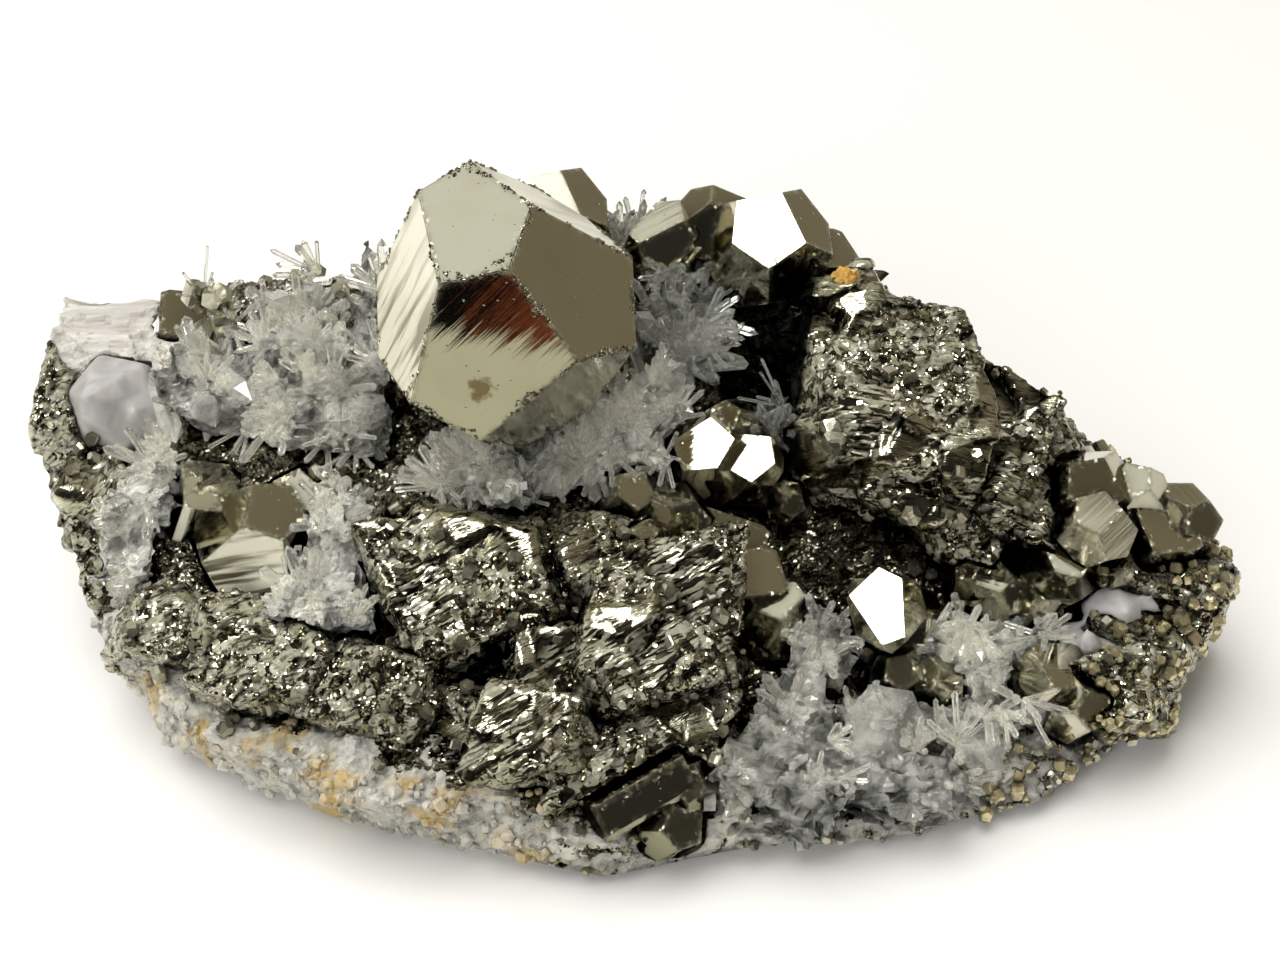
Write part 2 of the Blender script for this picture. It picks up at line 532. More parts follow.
def fibrous_quartz(colours):
    """Quartz, fibrous and silky: pinkish-white fibres about 1 mm thick that lie side by side."""
    material, tree, shader = new_material(
        "quartz_fibrous_silky", IOR=QUARTZ_IOR, Roughness=0.38, Subsurface_Weight=0.3,
        Subsurface_Scale=1.5 * MM)
    shader.inputs["Subsurface Radius"].default_value = (1.0, 1.0, 0.95)
    place = add(tree, "ShaderNodeTexCoord").outputs["Object"]
    laid = add(tree, "ShaderNodeMapping", {
        "Vector": place, "Rotation": (0.2, 0.1, math.radians(8)),
        "Scale": (1 / (9 * MM), 1 / (1.2 * MM), 1 / (1.0 * MM))})
    fibres = add(tree, "ShaderNodeTexNoise", {
        "Vector": laid.outputs[0], "Scale": 1.0, "Detail": 4.0, "Distortion": 0.3})
    share = add(tree, "ShaderNodeMapRange", {
        "Value": fibres.outputs[0], "From Min": 0.35, "From Max": 0.65})
    colour = add(tree, "ShaderNodeMix", {
        "Factor": share.outputs[0], 6: (*linear("#B8B3AC"), 1), 7: (*colours.fibrous, 1)},
        data_type="RGBA")
    ridges = add(tree, "ShaderNodeBump", {
        "Strength": 0.8, "Distance": 0.35 * MM, "Height": fibres.outputs[0]})
    tree.links.new(colour.outputs[2], shader.inputs["Base Color"])
    tree.links.new(ridges.outputs[0], shader.inputs["Normal"])
    return material


def ochre_crust():
    """Iron ochre: a soft orange-brown crust, matt and sugary."""
    material, tree, shader = new_material("iron_ochre_crust", Roughness=0.75)
    place = add(tree, "ShaderNodeTexCoord").outputs["Object"]
    cloud = add(tree, "ShaderNodeTexNoise", {
        "Vector": place, "Scale": 1 / (1 * MM), "Detail": 4.0})
    colour = add(tree, "ShaderNodeMix", {
        "Factor": cloud.outputs[0], 6: (*linear("#B4843A"), 1), 7: (*linear("#DDB562"), 1)},
        data_type="RGBA")
    tree.links.new(colour.outputs[2], shader.inputs["Base Color"])
    return material


# ------------------------------------------------------------------ meshes

def show(name, vertices, faces, material, slot):
    """A piece of the specimen from points in millimetres."""
    mesh = bpy.data.meshes.new(name)
    mesh.from_pydata((np.asarray(vertices) * MM).tolist(), [], faces)
    mesh.update()
    piece = show_mesh(name, mesh, material)
    # Clear crystals let the light through to what they grow on.
    piece.visible_shadow = slot != "quartz_clear"
    return piece


def show_mesh(name, mesh, material, replaced=()):
    """A piece of the specimen from a finished mesh."""
    mesh.materials.clear()
    mesh.materials.append(material)
    piece = bpy.data.objects.new(name, mesh)
    bpy.context.scene.collection.objects.link(piece)
    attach(piece, "root")
    if replaced:
        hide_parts(*replaced)
    return piece


def corners(nodes):
    """The corners of the solids' triangles in millimetres: a row of three points for each."""
    rows = []
    for node in nodes:
        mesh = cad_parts[node].data
        mesh.calc_loop_triangles()
        points = np.empty(len(mesh.vertices) * 3)
        mesh.vertices.foreach_get("co", points)
        order = np.empty(len(mesh.loop_triangles) * 3, dtype=np.int32)
        mesh.loop_triangles.foreach_get("vertices", order)
        rows.append(points.reshape(-1, 3)[order.reshape(-1, 3)] / MM)
    return np.concatenate(rows)


def solid_tree(nodes):
    """A search tree over the solids' triangles, to find what a ray meets."""
    points = [Vector(point) for point in corners(nodes).reshape(-1, 3)]
    return BVHTree.FromPolygons(points, [(i, i + 1, i + 2) for i in range(0, len(points), 3)])


def seen(nodes, spot):
    """Where the line from the camera's place through a laid-out spot meets the solids."""
    eye = Vector(LAYOUT + VIEWPOINT)
    return solid_tree(nodes).ray_cast(eye, (Vector(LAYOUT + spot) - eye).normalized())[0]


def open_spots(nodes, count, seed, wanted, room=1.5, beside=0.6):
    """Random places on the solids' open surfaces, with their normals, where wanted(x, y, z,
    normal) holds for the laid-out place. A place with another solid close in front of it or with
    a large pyrite crystal beside it is left out."""
    chance = np.random.default_rng(seed)
    rows = corners(nodes)
    cross = np.cross(rows[:, 1] - rows[:, 0], rows[:, 2] - rows[:, 0])
    area = np.linalg.norm(cross, axis=1)
    chosen = chance.choice(len(rows), count, p=area / area.sum())
    u, v = chance.random((2, count))
    fold = u + v > 1
    u[fold], v[fold] = 1 - u[fold], 1 - v[fold]
    rows, normals = rows[chosen], cross[chosen] / area[chosen, None]
    places = rows[:, 0] + u[:, None] * (rows[:, 1] - rows[:, 0]) \
        + v[:, None] * (rows[:, 2] - rows[:, 0])
    everything, crystals = solid_tree(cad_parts), solid_tree(CRYSTALS)
    kept = []
    for place, normal in zip(places, normals):
        if not wanted(*(place - LAYOUT), normal):
            continue
        # The ray starts just off the surface that it leaves.
        hit = everything.ray_cast(Vector(place + normal * 0.05), Vector(normal), room)
        if hit[0] is None and crystals.find_nearest(place, beside)[0] is None:
            kept.append((place, normal))
    return kept


def unit(rows):
    """Each row as a direction."""
    return rows / np.linalg.norm(rows, axis=1, keepdims=True)


def needles(feet, tips, widths, seed, flat=1.0):
    """Points and faces of six-sided quartz prisms with six-faced ends, from feet to tips. The
    feet are a little narrower than the shoulders, where the six-faced ends begin."""
    chance = np.random.default_rng(seed)
    feet, tips = np.asarray(feet, float), np.asarray(tips, float)
    widths = np.asarray(widths, float)
    length = np.linalg.norm(tips - feet, axis=1)
    axis = unit(tips - feet)
    helper = np.where(np.abs(axis[:, 2:]) < 0.9, (0.0, 0.0, 1.0), (1.0, 0.0, 0.0))
    side = unit(np.cross(axis, helper))
    across = np.cross(axis, side)
    angles = np.radians(60) * np.arange(6)[None, :] + chance.uniform(0, 1, len(feet))[:, None]
    ring = (side[:, None, :] * np.cos(angles)[..., None]
            + across[:, None, :] * np.sin(angles)[..., None] / flat)
    radius = (widths / 2)[:, None, None]
    # The ends are about 0.6 of the width long, or 0.3 of the length on short needles.
    point = np.minimum(widths * 0.6, length * 0.3)[:, None] \
        * chance.uniform(0.6, 1.3, (len(feet), 1))
    foot_ring = feet[:, None, :] + ring * radius * 0.85
    shoulder = (tips - axis * point)[:, None, :] + ring * radius
    points = np.concatenate([foot_ring, shoulder, tips[:, None, :]], axis=1).reshape(-1, 3)
    faces = []
    for start in range(0, len(points), 13):
        faces.append([start + i for i in (5, 4, 3, 2, 1, 0)])
        for i in range(6):
            j = (i + 1) % 6
            faces.append([start + i, start + j, start + 6 + j, start + 6 + i])
            faces.append([start + 6 + i, start + 6 + j, start + 12])
    return points, faces


def burst(foot, aim, count, length, width, spread, chance):
    """Needles that fan out from one foot: rows of (foot, tip, width)."""
    aim = Vector(aim).normalized()
    side = aim.orthogonal().normalized()
    across = aim.cross(side)
    rows = []
    for step in range(count):
        lean = math.radians(spread) * math.sqrt((step + 0.5) / count)
        angle = step * GOLDEN_ANGLE + chance.uniform(-0.4, 0.4)
        outward = side * math.cos(angle) + across * math.sin(angle)
        direction = aim * math.cos(lean) + outward * math.sin(lean)
        reach = length * chance.uniform(0.55, 1.0)
        rows.append((Vector(foot), Vector(foot) + direction * reach,
                     width * chance.uniform(0.55, 1.25)))
    return rows


def stop_at(tree, rows, shortest):
    """Needles cut short a little inside another mineral that they run into; stubs are left out."""
    kept = []
    for foot, tip, width in rows:
        run = tip - foot
        hit = tree.ray_cast(foot + run.normalized() * 0.6, run.normalized(), run.length)
        if hit[0] is not None:
            run = run.normalized() * (hit[3] + 0.4)
        if run.length > shortest:
            kept.append((foot, foot + run, width))
    return kept


def even_net(node, spacing):
    """A closed copy of a solid covered by an even net of small faces."""
    copy = bpy.data.objects.new(node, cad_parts[node].data.copy())
    bpy.context.scene.collection.objects.link(copy)
    net = copy.modifiers.new("net", "REMESH")
    net.mode = "VOXEL"
    net.voxel_size = spacing
    graph = bpy.context.evaluated_depsgraph_get()
    mesh = bpy.data.meshes.new_from_object(copy.evaluated_get(graph))
    bpy.data.objects.remove(copy)
    return mesh


def rounded(mesh, passes):
    """Softens a mesh's edges and gives it smooth shading."""
    bm = bmesh.new()
    bm.from_mesh(mesh)
    for _ in range(passes):
        bmesh.ops.smooth_vert(bm, verts=bm.verts, factor=0.5, use_axis_x=True, use_axis_y=True,
                              use_axis_z=True)
    for face in bm.faces:
        face.smooth = True
    bm.to_mesh(mesh)
    bm.free()
    return mesh


def push(mesh, relief, marks=()):
    """Moves each point along its normal by relief(place), in millimetres. The relief also
    returns a value for each of the marks, which the materials read."""
    values = {mark: [] for mark in marks}
    moved = []
    for vertex in mesh.vertices:
        height, *found = relief(vertex.co / MM)
        moved.extend(vertex.co + vertex.normal * height * MM)
        for mark, value in zip(marks, found):
            values[mark].append(value)
    mesh.vertices.foreach_set("co", moved)
    for mark in marks:
        layer = mesh.attributes.new(mark, "FLOAT", "POINT")
        layer.data.foreach_set("value", values[mark])
    mesh.update()


def smooth(value):
    """0 below 0, 1 above 1, and a soft rise between."""
    value = min(1.0, max(0.0, value))
    return value * value * (3 - 2 * value)


def grains(place, width, shift=(0, 0, 0)):
    """Relief of intergrown grains: each cell is a small plane with its own slant and height.
    Returns the height and how near the place is to the seam between two grains, up to 1. The
    shift picks another pattern."""
    spot = (place + Vector(shift)) / width
    distances, points = noise.voronoi(spot)
    tilt = noise.cell_vector(points[0] * 9.7)
    height = (tilt - Vector((0.5, 0.5, 0.5))).dot(spot - points[0]) + 0.35 * tilt.x
    return width * height, max(0.0, 1 - 4 * (distances[1] - distances[0]))


def leaves(place, lie, thickness):
    """Relief of thin plates broken back in steps, and 1 in the crack between two plates, else 0;
    lie is the direction across the plates."""
    run = place.dot(lie) / thickness + 1.4 * noise.noise(place * 0.16) \
        + 0.5 * noise.noise(place * 0.45)
    step = run - math.floor(run)
    return thickness * (0.75 * step - 0.35), 1.0 if step < 0.12 else 0.0


def keep_back(tree, place, height, reach=2.5):
    """Relief that sinks away beside the crystals, so that their faces stay clear."""
    beside = tree.find_nearest(place, reach)[3]
    if beside is None:
        return height
    share = beside / reach
    return share * height - 0.5 * (1 - share)


def whole_faces(node):
    """A crystal for editing, its triangles joined to its flat faces."""
    bm = bmesh.new()
    bm.from_mesh(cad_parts[node].data)
    bmesh.ops.remove_doubles(bm, verts=bm.verts[:], dist=1e-6)
    bmesh.ops.dissolve_limit(bm, angle_limit=SAME_FACE, verts=bm.verts[:], edges=bm.edges[:])
    return bm


# ------------------------------------------------------------------ pyrite crystals

def ruled_crystal(node, edge, line_direction, crusted):
    """A copy of a crystal with its edges rubbed flat. Each face carries a map in millimetres
    that runs along its growth lines: along the face's longest edge, or for a front face as
    given. Faces that look along one of the crusted directions carry the mark that the finish
    reads."""
    bm = whole_faces(node)
    layer = bm.loops.layers.uv.new("growth_lines")
    for face in bm.faces:
        longest = max(face.edges, key=lambda item: item.calc_length())
        along = (longest.verts[1].co - longest.verts[0].co).normalized()
        if line_direction and face.normal.dot(Vector((0, -1, 0))) > FRONT_FACING:
            along = Vector(line_direction)
            along = (along - face.normal * along.dot(face.normal)).normalized()
        across = face.normal.cross(along)
        for loop in face.loops:
            loop[layer].uv = (loop.vert.co.dot(along) / MM, loop.vert.co.dot(across) / MM)
    sharp = [item for item in bm.edges
             if len(item.link_faces) == 2 and item.calc_face_angle(0) > CRYSTAL_EDGE
             and item.is_convex and item.calc_length() > 6 * edge]
    bmesh.ops.bevel(bm, geom=sharp, offset=edge, segments=2, affect="EDGES",
                    clamp_overlap=True)
    for face in bm.faces:
        face.smooth = False
    marks = [float(any(face.normal.dot(way) > CRUST_FACING for way in crusted))
             for face in bm.faces]
    mesh = bpy.data.meshes.new(node)
    bm.to_mesh(mesh)
    bm.free()
    mesh.attributes.new("crusted", "FLOAT", "FACE").data.foreach_set("value", marks)
    return mesh


def edge_spots(node, spacing, reach, seed):
    """Places beside a crystal's edges with their normals, in ragged stretches up to reach wide."""
    chance = random.Random(seed)
    bm = whole_faces(node)
    spots = []
    for edge in bm.edges:
        if len(edge.link_faces) != 2 or edge.calc_face_angle(0) < CRYSTAL_EDGE:
            continue
        start, end = (vertex.co / MM for vertex in edge.verts)
        for _ in range(int((end - start).length / spacing)):
            for face in edge.link_faces:
                place = start.lerp(end, chance.random())
                inward = face.normal.cross(end - start).normalized()
                if (face.calc_center_median() / MM - place).dot(inward) < 0:
                    inward.negate()
                # Stretches where the noise is low stay bare.
                ragged = noise.fractal(place * 0.2 + face.normal * 9, 0.9, 2.0, 3)
                width = reach * (ragged - 0.08)
                if width > 0:
                    spots.append((np.array(place + inward * width * chance.random()),
                                  np.array(face.normal)))
    bm.free()
    return spots


PYRITE_PLANES = [Vector(turned).normalized() for a in (-1, 1) for b in (-1, 1)
                 for turned in ((a, 2 * b, 0), (0, a, 2 * b), (2 * b, 0, a))]
CUBE_PLANES = [Vector(axis) * side for axis in ((1, 0, 0), (0, 1, 0), (0, 0, 1))
               for side in (-1, 1)]


def crystal_form(planes, distances):
    """Points and faces of the solid that lies inside every plane (normal, distance)."""
    bm = bmesh.new()
    bmesh.ops.create_cube(bm, size=4)
    for normal, distance in zip(planes, distances):
        cut = bmesh.ops.bisect_plane(
            bm, geom=bm.verts[:] + bm.edges[:] + bm.faces[:], dist=1e-6,
            plane_co=normal * distance, plane_no=normal, clear_outer=True)
        rim = [item for item in cut["geom_cut"] if isinstance(item, bmesh.types.BMEdge)]
        if len(rim) > 2:
            bmesh.ops.edgeloop_fill(bm, edges=rim)
    bmesh.ops.remove_doubles(bm, verts=bm.verts[:], dist=1e-4)
    bmesh.ops.recalc_face_normals(bm, faces=bm.faces[:])
    return points_and_faces(bm)


def points_and_faces(bm):
    """The points and faces of an edited mesh, which is then freed."""
    bm.verts.index_update()
    points = np.array([vertex.co for vertex in bm.verts])
    faces = [[vertex.index for vertex in face.verts] for face in bm.faces]
    bm.free()
    return points, faces


def crystal_forms():
    """Small crystals to strew: pyritohedra and cubes with cut edges, each grown a bit uneven."""
    chance = random.Random(11)

    def uneven(count, least, most):
        return [chance.uniform(least, most) for _ in range(count)]

    forms = []
    for _ in range(4):
        forms.append(crystal_form(PYRITE_PLANES, uneven(12, 0.42, 0.55)))
        forms.append(crystal_form(CUBE_PLANES + PYRITE_PLANES,
                                  uneven(6, 0.40, 0.5) + uneven(12, 0.44, 0.56)))
    return forms


def strew(spots, smallest, largest, seed, sink=0.25, power=2.0):
    """Points and faces of small crystals set at random slants on the given places. Most are
    small: the more so, the higher the power."""
    chance = random.Random(seed)
    forms = crystal_forms()
    points, faces, start = [], [], 0
    for place, normal in spots:
        size = smallest + (largest - smallest) * chance.random() ** power
        shape, sides = chance.choice(forms)
        turn = np.array(Euler([chance.uniform(0, 6.3) for _ in range(3)]).to_matrix())
        centre = place + normal * size * (0.5 - sink - chance.uniform(0, 0.25))
        points.append(shape @ turn.T * size + centre)
        faces += [[start + i for i in side] for side in sides]
        start += len(shape)
    return np.concatenate(points), faces


# The laid-out line of sight through the large crystal's brown spot.
STAIN_SPOT = (-21.0, -5.2, 40.0)
# The direction of the growth lines on the large crystal's front face.
FRONT_LINES = (0.66, 0.0, 0.75)
# Which way the crusted faces look; every other face is clean.
CRUSTED_WAYS = {
    "pyrite_crystal_large": (Vector((-0.935, -0.256, 0.247)), Vector((0.52, 0.43, 0.74))),
    "pyrite_crystals_left": (Vector((-0.17, -0.952, 0.255)),),
    "pyrite_crystals_back": (Vector((-0.044, -0.538, 0.841)),),
}


class SPECIMEN_OT_pyrite_crystals(bpy.types.Operator):
    """Rules the pyrite crystals with growth lines and rubs their edges"""
    bl_idname = "specimen.pyrite_crystals"
    bl_label = "Pyrite crystals"

    def execute(self, context):
        sizes, colours = context.scene.specimen_sizes, context.scene.specimen_colours
        face_finish = crystal_face_pyrite(
            colours, seen(["pyrite_crystal_large"], STAIN_SPOT) * MM)
        for node in CRYSTALS:
            lines = FRONT_LINES if node == "pyrite_crystal_large" else None
            mesh = ruled_crystal(node, sizes.worn_edge, lines, CRUSTED_WAYS.get(node, ()))
            show_mesh(node + "_faces", mesh, face_finish, (node,))
        # The large crystal's edges carry a ragged crust of fine crystals.
        crust = granular_pyrite("pyrite_edge_crust", colours.pyrite, colours.tarnish,
                                sizes.grain, 0.5, 1.0)
        spots = edge_spots("pyrite_crystal_large", 0.16, 2.6, 57)
        points, faces = strew(spots, 0.12, 0.5, 58, sink=0.42)
        show("pyrite_crystal_large_crust", points, faces, crust, "pyrite_mirror")
        return {"FINISHED"}


# ------------------------------------------------------------------ massive pyrite and rock

def vug_at(spot):
    """How deep a place lies in the black vug between the upper sprays and the right mass."""
    return smooth(2 * (1 - ((spot[0] - 17) / 8.5) ** 2 - ((spot[1] - 14) / 26) ** 2))


def iron_at(spot):
    """How strongly iron has stained the rock: patches along the lower left front."""
    front = smooth((-20 - spot[1]) / 8) * smooth((4 - spot[0]) / 14)
    patches = noise.fractal(Vector(spot) * 0.15 + Vector((5, 1, 9)), 0.9, 2.0, 3)
    return front * smooth((patches + 0.02) * 2.2)


def broken_relief(across, grainy, smoother, crystals):
    """The relief of one mass of pyrite, with its marks: blocks of 8.5 mm, chipped, and on them
    plates, cleaved planes or beds of grains."""
    def relief(place):
        # The far right end is all grains.
        granular = max(smooth(0.5 + 5 * (noise.noise(place * 0.11) + grainy)),
                       smooth((place.x - LAYOUT[0] - 60) / 5))
        planed = (1 - granular) * smooth(
            6 * noise.noise(place * 0.09 + Vector((3, 8, 1))) + smoother)
        platy = (1 - granular) * (1 - planed)
        block, seam = grains(place, 8.5)
        chip, split = grains(place, 3.6, (9, 2, 40))
        coarse, crack = grains(place, 2.4, (31, 7, 3))
        fine, pit = grains(place, 1.1, (4, 17, 9))
        plate, edge = leaves(place, across, 1.3)
        height = (0.3 + 0.15 * planed) * (1 - 0.7 * granular) * block \
            + (1 - planed) * 0.2 * chip \
            + granular * (0.25 * coarse + 0.25 * fine) + platy * 0.3 * plate - 0.2
        height = keep_back(crystals, place, height)
        spot = place - Vector(LAYOUT)
        # The black of the vug stops where the right mass begins.
        hollow = max(4 * seam - 3, 3 * split - 2, granular * max(0.8 * crack, 0.6 * pit),
                     platy * edge, 0.3 - 0.7 * height, vug_at(spot) * (spot.x < 24.5))
        return height, granular, planed, min(1.0, hollow)
    return relief


def rock_relief(crystals):
    """The relief of the rock, with its marks: lumps, beds and grains, faint at the underside."""
    lean = Vector((0.1, -0.35, 0.93)).normalized()

    def relief(place):
        spot = place - Vector(LAYOUT)
        cloud = noise.noise(place * 0.12)
        # Pyrite fills the rock to the right and above, less so behind and low at the front.
        pyrite = smooth((spot.x + 22 + 12 * cloud) / 16) \
            + smooth((spot.z - 13 - 4 * cloud) / 5)
        if spot.y > 12:
            pyrite *= 0.75
        pyrite = min(1.0, pyrite) * (
            1 - 0.6 * smooth((12 - spot.z) / 5) * smooth((-22 - spot.y) / 8))
        lump = noise.fractal(place * 0.22, 0.8, 2.1, 4)
        coarse, seam = grains(place, 2.4)
        fine = grains(place, 1.2, (3, 9, 5))[0]
        bed = leaves(place, lean, 2.2)[0]
        height = 0.7 * lump + 0.3 * coarse + 0.35 * fine + 0.25 * bed - 0.3
        height = keep_back(crystals, place, height)
        if spot.z < 1.5:
            height *= 0.15
        return (height, 0.25 + 0.45 * pyrite, iron_at(spot),
                min(1.0, max(0.8 * seam, 0.5 - 0.6 * height)), vug_at(spot))
    return relief


class SPECIMEN_OT_massive_pyrite(bpy.types.Operator):
    """Breaks the massive pyrite into plates, planes and beds of grains"""
    bl_idname = "specimen.massive_pyrite"
    bl_label = "Massive pyrite"

    def execute(self, context):
        sizes, colours = context.scene.specimen_sizes, context.scene.specimen_colours
        crystals = solid_tree(CRYSTALS)
        for node, (across, grainy, smoother) in BREAKS.items():
            across = Vector(across).normalized()
            mesh = even_net(node, sizes.pyrite_net)
            push(mesh, broken_relief(across, grainy, smoother, crystals), BREAK_MARKS)
            for face in mesh.polygons:
                face.use_smooth = True
            finish = massive_pyrite(node + "_broken", colours, sizes.grain, across)
            show_mesh(node + "_broken", mesh, finish, (node,))
        return {"FINISHED"}


class SPECIMEN_OT_matrix_rock(bpy.types.Operator):
    """Weathers the slab of rock, with its stain and its granular pyrite"""
    bl_idname = "specimen.matrix_rock"
    bl_label = "Matrix rock"

    def execute(self, context):
        sizes, colours = context.scene.specimen_sizes, context.scene.specimen_colours
        finish = rock_with_pyrite(colours, sizes.grain)
        mesh = even_net("matrix_rock", sizes.rock_net)
        push(mesh, rock_relief(solid_tree(CRYSTALS)), ROCK_MARKS)
        show_mesh("matrix_rock_weathered", mesh, finish, ("matrix_rock",))

        # Sugary quartz grains on the bare rock.
        def bare_rock(x, y, z, normal):
            return normal[2] > -0.7 and y < -14 and x < -10 and z < 13

        spots = open_spots(("matrix_rock",), 16000, 311, bare_rock, 0.8)
        points, faces = strew(spots, 0.35, 1.7, 411, 0.4, 2.5)
        grown = show("matrix_rock_grains", points, faces, finish, "rock")
        stain = grown.data.attributes.new("iron_stain", "FLOAT", "POINT")
        stain.data.foreach_set("value", [iron_at(point) for point in points - LAYOUT])
        return {"FINISHED"}


# ------------------------------------------------------------------ strewn pyrite

# Where small crystals lie: each tests a laid-out place and the way that the ground faces there.

def in_pocket(x, y, z, normal):
    return normal[2] > 0.1 and (
        (8 < x < 26 and -22 < y < -6) or (26 < x < 72 and -32 < y < -12))


def on_rim(x, y, z, normal):
    return normal[2] > -0.6 and (x > 68 or (x > 44 and y < -28) or (x > 60 and y < -18))


def in_band(x, y, z, normal):
    return normal[2] > -0.2 and x < -20 and 13 < z and y < -12


def on_top(x, y, z, normal):
    return normal[2] > 0.0 and (x > -14 or z > 14) and not (2 < x < 28 and -24 < y < 40)


def at_front(x, y, z, normal):
    return normal[1] < 0.2 and y < -28 and -12 < x < 66 and normal[2] > -0.5


def at_upper_left(x, y, z, normal):
    return normal[2] > 0.2 and x < -34 and y > 9


GROUND = ("matrix_rock", *BREAKS)
# Small crystals: the solids they lie on, where, how many places are tried, the free room above and
# beside each, least and greatest width, seeds for the places and the slants, and the finish.
STREWN = {
    "pyrite_strewn_upper_left": (
        ("quartz_cluster_left",), at_upper_left, 70, 3, 1.5, 1.8, 5.0, 306, 406, "bright"),
    "pyrite_strewn_pocket": (GROUND, in_pocket, 600, 3, 0.6, 1.2, 3.8, 301, 401, "bright"),
    "pyrite_strewn_rim": (GROUND, on_rim, 11000, 1, 0.6, 0.7, 2.0, 302, 402, "golden"),
    "pyrite_strewn_band": (GROUND, in_band, 2500, 1, 0.6, 0.6, 2.2, 305, 405, "bright"),
    "pyrite_strewn_top": (GROUND, on_top, 1500, 1, 0.6, 0.6, 2.2, 303, 403, "bright"),
    "pyrite_strewn_front": (GROUND, at_front, 2500, 1, 0.6, 0.6, 2.0, 304, 404, "bright"),
}


class SPECIMEN_OT_strewn_pyrite(bpy.types.Operator):
    """Strews small pyrite crystals over the rock and the massive pyrite"""
    bl_idname = "specimen.strewn_pyrite"
    bl_label = "Strewn pyrite"

    def execute(self, context):
        sizes, colours = context.scene.specimen_sizes, context.scene.specimen_colours
        finishes = {
            "bright": granular_pyrite("pyrite_small_crystals", colours.pyrite, colours.tarnish,
                                      4 * sizes.grain, 0.25, 0.92),
            "golden": granular_pyrite("pyrite_golden_grains", colours.golden, colours.tarnish,
                                      2 * sizes.grain, 0.35, 0.72),
        }
        for name, (ground, wanted, count, room, beside, smallest, largest, seed, slant_seed,
                   finish) in STREWN.items():
            spots = open_spots(ground, count, seed, wanted, room, beside)
            points, faces = strew(spots, smallest, largest, slant_seed)
            show(name, points, faces, finishes[finish], "pyrite_granular")
        # One spot of ochre on the upper right edge.
        centre = seen(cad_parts, (28.8, 17.4, 41.0))
        bm = bmesh.new()
        bmesh.ops.create_icosphere(bm, subdivisions=4, radius=1.0)
        ball, faces = points_and_faces(bm)
        points = [centre + Vector((2.0, 1.6, 2.4)) * Vector(point)
                  * (1 + 0.35 * noise.fractal(Vector(point) * 2.5, 0.8, 2.0, 4))
                  for point in ball]
        show("ochre_spot", points, faces, ochre_crust(), "rock")
        return {"FINISHED"}


# ------------------------------------------------------------------ quartz

# The front mass is lumpy, and the needles on it and on two others are short.
LUMPY = "quartz_mass_front"
SHORT_NEEDLES = (LUMPY, "quartz_column_left", "quartz_patch")
# Large sprays: foot, aim, needles, length, width, spread (laid out in millimetres).
LARGE_SPRAYS = (
    ((-58, 13, 31), (-0.1, -0.4, 0.9), 22, 12, 2.0, 66),
    ((-48, 17, 34), (0.0, -0.4, 0.9), 20, 11.5, 1.8, 64),
    ((-42, 5, 32), (0.0, -0.5, 0.85), 26, 12, 2.0, 64),
    ((-38, 17, 35), (0.1, -0.3, 0.9), 17, 12, 1.7, 54),
    ((-50, 3, 29), (0.0, -0.6, 0.8), 20, 11, 1.8, 60),
    ((-67, -2, 24), (0.0, -0.5, 0.85), 32, 7.5, 1.4, 66),
    ((-66.5, -9, 20), (0.0, -0.6, 0.8), 32, 7.5, 1.4, 66),
    ((-68.5, -16, 15), (-0.1, -0.6, 0.8), 26, 6.5, 1.4, 60),
    ((-43.5, -24, 20), (0.0, -0.6, 0.8), 22, 9, 1.6, 66),
    ((-40, -16, 26), (0.1, -0.6, 0.8), 15, 7.5, 1.6, 58),
    ((-4, -5, 30), (-0.1, -0.5, 0.85), 29, 10.5, 1.6, 66),
    ((1.5, 1.5, 33), (0.1, -0.4, 0.9), 19, 9, 1.6, 60),
    ((4, 15, 37), (0.0, -0.45, 0.9), 18, 9.5, 1.6, 64),
    ((7.5, 7, 34), (0.1, -0.5, 0.85), 13, 9, 1.6, 60),
    ((-3, 30, 39), (0.1, 0.0, 1.0), 19, 7.5, 1.4, 64),
    ((18.5, -1, 29), (0.2, -0.6, 0.8), 15, 8, 1.6, 56),
    ((42, -26, 13), (0.0, -0.6, 0.8), 20, 8.5, 1.6, 64),
    ((50, -27, 13), (0.1, -0.6, 0.8), 19, 8.5, 1.6, 60),
    ((43, -37, 10), (0.1, -0.7, 0.7), 15, 7, 1.6, 58),
    ((12, -47, 9), (-0.1, -0.7, 0.7), 15, 7, 1.6, 54),
    ((39, -44, 7), (0.2, -0.7, 0.7), 15, 7, 1.4, 54),
    ((23, -27, 15), (0.1, -0.6, 0.8), 22, 8.5, 1.4, 62),
    ((19, -36, 12), (0.0, -0.6, 0.8), 17, 7, 1.4, 58),
    ((60, -28, 11), (0.0, -0.7, 0.7), 14, 7, 1.6, 54),
)
